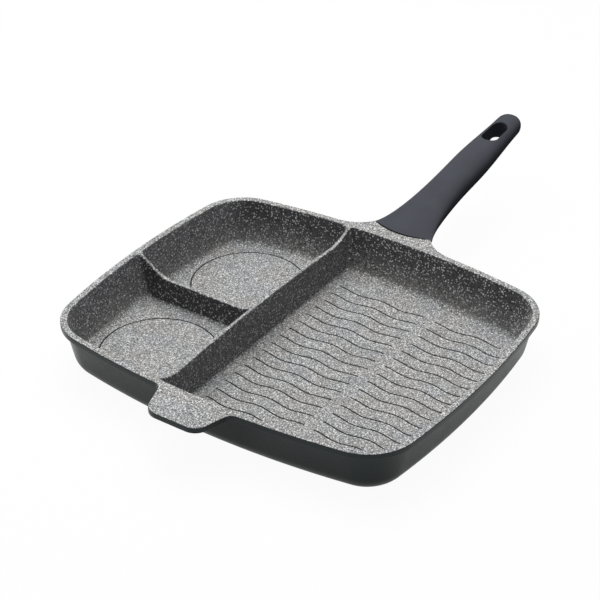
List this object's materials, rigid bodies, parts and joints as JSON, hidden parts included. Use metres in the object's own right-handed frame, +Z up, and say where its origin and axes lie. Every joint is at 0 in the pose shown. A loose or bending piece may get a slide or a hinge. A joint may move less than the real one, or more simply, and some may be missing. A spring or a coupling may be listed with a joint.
{
  "type": "divided frying pan",
  "caption": "Rounded rectangular cast frying pan with divided compartments, egg rings and wavy lines engraved in its floor, a front lug and a moulded grip with a hanging slot.",
  "frame": {"origin": "centre of the base's flat face, where the pan stands", "axes": "+Z up, out of the compartments; +Y along the grip, towards its hanging slot; +X towards the large compartment's side"},
  "size_m": [0.31, 0.4726, 0.0694],
  "materials": {
    "pan_body": "cast, with a speckled stone-look non-stick coating inside and on the rim and a dark satin coating outside",
    "handle": "matte soft-touch, dark blue-grey",
    "handle_screw": "bright zinc"
  },
  "bodies": {
    "root": {"pan_body": "pan_body", "handle": "handle", "handle_screw": "handle_screw"}
  },
  "joints": []
}
